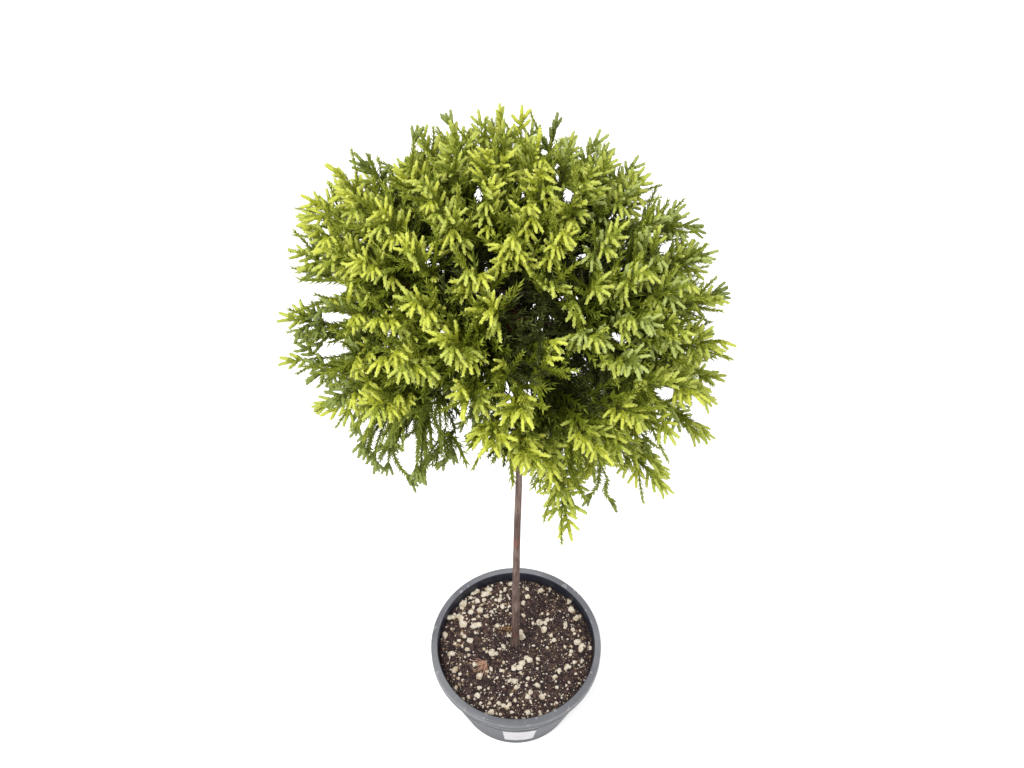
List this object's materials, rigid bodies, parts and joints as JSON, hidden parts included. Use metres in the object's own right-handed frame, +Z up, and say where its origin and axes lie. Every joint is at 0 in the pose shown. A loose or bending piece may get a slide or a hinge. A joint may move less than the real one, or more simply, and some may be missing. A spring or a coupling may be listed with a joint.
{
  "type": "lollipop standard conifer in a nursery pot",
  "caption": "Young golden cedar trained as a lollipop standard: a clear thin stem with a loose round crown of finger-like sprays, in a round grey nursery pot with soil.",
  "frame": {"origin": "centre of the pot's flat underside", "axes": "+Z up along the stem, -Y towards the front of the plant as pictured, +X to its right"},
  "size_m": [0.504, 0.4914, 1.2906],
  "materials": {
    "pot": "satin injection-moulded plastic",
    "soil": "loose damp potting mix with pale pumice",
    "bark": "thin stringy grey-brown bark",
    "foliage": "soft matt needles"
  },
  "bodies": {
    "root": {"pot": "pot", "soil": "soil", "trunk": "bark", "bough_upper_front": "bark", "bough_upper_right": "bark", "bough_upper_back": "bark", "bough_upper_left_back": "bark", "bough_upper_left": "bark", "bough_front": "bark", "bough_right_front": "bark", "bough_right": "bark", "bough_back": "bark", "bough_left_back": "bark", "bough_left": "bark", "bough_left_front": "bark", "bough_low_front": "bark", "bough_low_right": "bark", "bough_low_back": "bark", "bough_low_left": "bark", "bough_low_left_front": "bark", "mass_top": "foliage", "mass_upper_front": "foliage", "mass_upper_right": "foliage", "mass_upper_back": "foliage", "mass_upper_left_back": "foliage", "mass_upper_left": "foliage", "mass_front": "foliage", "mass_right_front": "foliage", "mass_right": "foliage", "mass_back": "foliage", "mass_left_back": "foliage", "mass_left": "foliage", "mass_left_front": "foliage", "mass_low_front": "foliage", "mass_low_right": "foliage", "mass_low_back": "foliage", "mass_low_left": "foliage", "mass_low_left_front": "foliage"}
  },
  "joints": []
}
